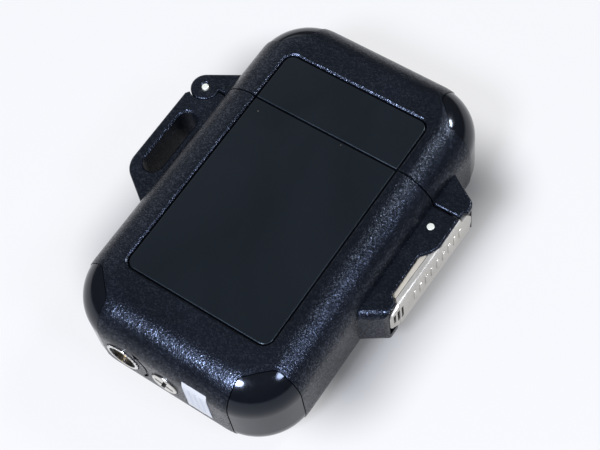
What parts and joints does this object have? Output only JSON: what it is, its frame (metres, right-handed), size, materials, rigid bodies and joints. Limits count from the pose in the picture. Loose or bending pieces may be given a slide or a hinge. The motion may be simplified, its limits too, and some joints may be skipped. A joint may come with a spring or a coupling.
{
  "type": "pocket torch lighter",
  "caption": "Slim rounded pocket torch lighter with a side-hinged sealed lid, a sheet-metal latch lever, a lanyard lug, inlay panels and glossy corner caps.",
  "frame": {"origin": "centre of the flat back face, on the surface the lighter lies on", "axes": "+Z out of the front face, +Y towards the lid, +X towards the latch"},
  "size_m": [0.0528, 0.0663, 0.0197],
  "materials": {
    "grained_black": "fine sand-blasted grain, satin",
    "smooth_black": "smooth satin",
    "gloss_black": "polished",
    "heat_resistant_black": "matt moulding",
    "seal_rubber": "soft matt",
    "bright_steel": "bright turned",
    "nickel_sheet": "bright nickel",
    "warm_nickel_sheet": "warm nickel, satin",
    "spring_steel": "drawn wire",
    "chrome_trim": "polished",
    "brass_fitting": "turned",
    "white_label": "printed film",
    "tank_nylon": "translucent nylon",
    "chassis_black": "matt moulding",
    "soft_tube": "soft clear tube",
    "white_ceramic": "fired ceramic",
    "catalyst_wire": "fine wire",
    "igniter_case": "moulded",
    "igniter_plunger": "moulded",
    "button_black": "satin with grip grooves"
  },
  "bodies": {
    "body": {"body_shell": "grained_black", "body_front_panel": "smooth_black", "body_back_panel": "smooth_black", "corner_cap_lower_left": "gloss_black", "corner_cap_lower_right": "gloss_black", "hinge_pin": "bright_steel", "hinge_washers": "bright_steel", "latch_pin": "bright_steel", "latch_spring": "spring_steel", "fill_valve_body": "brass_fitting", "fill_valve_spring": "spring_steel", "fill_valve_seal": "seal_rubber", "base_screw": "bright_steel", "base_label": "white_label", "fuel_tank": "tank_nylon", "chassis": "chassis_black", "collar_seal": "seal_rubber", "burner_valve_body": "brass_fitting", "gas_tube": "soft_tube", "burner_jet": "brass_fitting", "burner_tube": "chrome_trim", "ceramic_core": "white_ceramic", "catalyst_coil": "catalyst_wire", "electrode": "white_ceramic", "piezo_igniter": "igniter_case", "piezo_spring": "spring_steel"},
    "lid": {"lid_shell": "grained_black", "lid_front_panel": "smooth_black", "lid_back_panel": "smooth_black", "corner_cap_upper_left": "gloss_black", "corner_cap_upper_right": "gloss_black", "lid_liner": "heat_resistant_black"},
    "latch": {"latch_lever": "nickel_sheet", "latch_inner_channel": "warm_nickel_sheet"},
    "button": {"ignition_button": "button_black", "piezo_plunger": "igniter_plunger"},
    "rocker": {"valve_lever": "chassis_black"},
    "burner_stem": {"burner_valve_stem": "brass_fitting"},
    "filler_stem": {"fill_valve_stem": "brass_fitting"},
    "adjuster": {"flame_adjuster": "chrome_trim"}
  },
  "joints": [
    {"name": "lid_hinge", "type": "hinge", "parent": "body", "child": "lid", "pos_m": [-0.02455, 0.0128, 0.00985], "axis": [0, 0, 1], "range_deg": [0, 115]},
    {"name": "latch_pivot", "type": "hinge", "parent": "body", "child": "latch", "pos_m": [0.022, 0.00963, 0.00985], "axis": [0, 0, 1], "range_deg": [0, 14], "stiffness_Nm_per_rad": 0.005, "springref_deg": -17.19},
    {"name": "ignition_press", "type": "slide", "parent": "body", "child": "button", "axis": [0, -1, 0], "range_m": [0, 0.0035], "stiffness_N_per_m": 300, "springref_m": -0.004, "deforming": ["piezo_spring"]},
    {"name": "rocker_tilt", "type": "hinge", "parent": "body", "child": "rocker", "pos_m": [-0.0012, -0.003, 0.00985], "axis": [0, 0, 1], "range_deg": [-7, 0]},
    {"name": "burner_valve_lift", "type": "slide", "parent": "body", "child": "burner_stem", "axis": [0, 1, 0], "range_m": [0, 0.00085]},
    {"name": "fill_valve_press", "type": "slide", "parent": "body", "child": "filler_stem", "axis": [0, 1, 0], "range_m": [0, 0.0012], "stiffness_N_per_m": 40, "springref_m": -0.004, "deforming": ["fill_valve_spring"]},
    {"name": "flame_adjust", "type": "hinge", "parent": "body", "child": "adjuster", "pos_m": [-0.0082, -0.033, 0.0103], "axis": [0, 1, 0], "range_deg": [-60, 60]}
  ],
  "couplings": [
    {"joint": "rocker_tilt", "follows": "ignition_press", "rad_per_m": -34.286},
    {"joint": "burner_valve_lift", "follows": "ignition_press", "ratio": 0.24}
  ]
}
